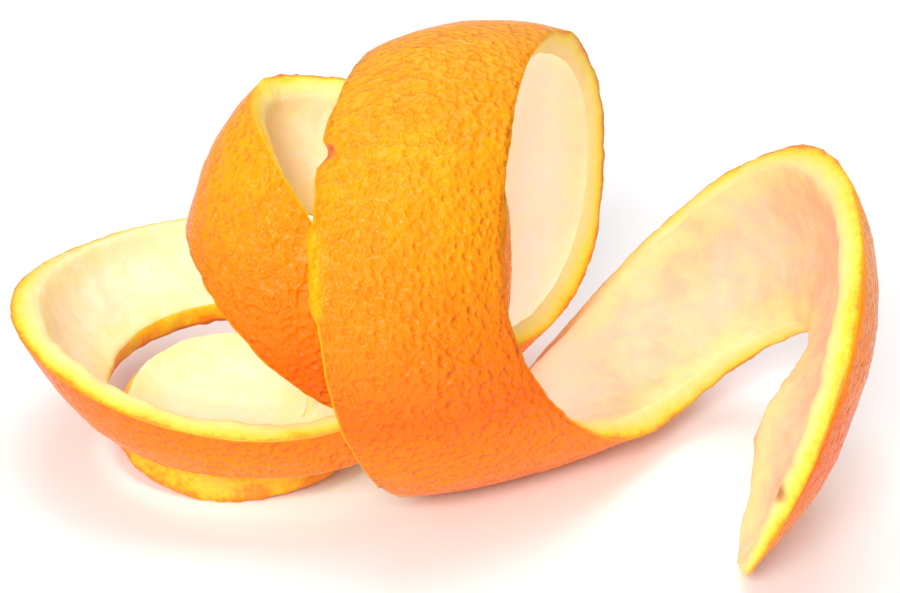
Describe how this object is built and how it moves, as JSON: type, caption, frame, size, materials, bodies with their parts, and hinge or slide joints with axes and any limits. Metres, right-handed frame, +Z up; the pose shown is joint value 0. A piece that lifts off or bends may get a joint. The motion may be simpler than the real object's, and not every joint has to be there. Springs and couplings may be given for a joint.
{
  "type": "orange peel",
  "caption": "Spiral strip of orange peel lying loose: a shallow cap, a leaning bowl, an upright hoop and a curled tip.",
  "frame": {"origin": "centre of the bounding box at table height", "axes": "+Z up; +X along the row of turns, from the cap towards the tip; front at -Y"},
  "size_m": [0.142, 0.0952, 0.0721],
  "materials": {
    "peel": "waxy dimpled orange skin outside, soft cream pith inside"
  },
  "bodies": {
    "root": {"orange_peel": "peel"}
  },
  "joints": []
}
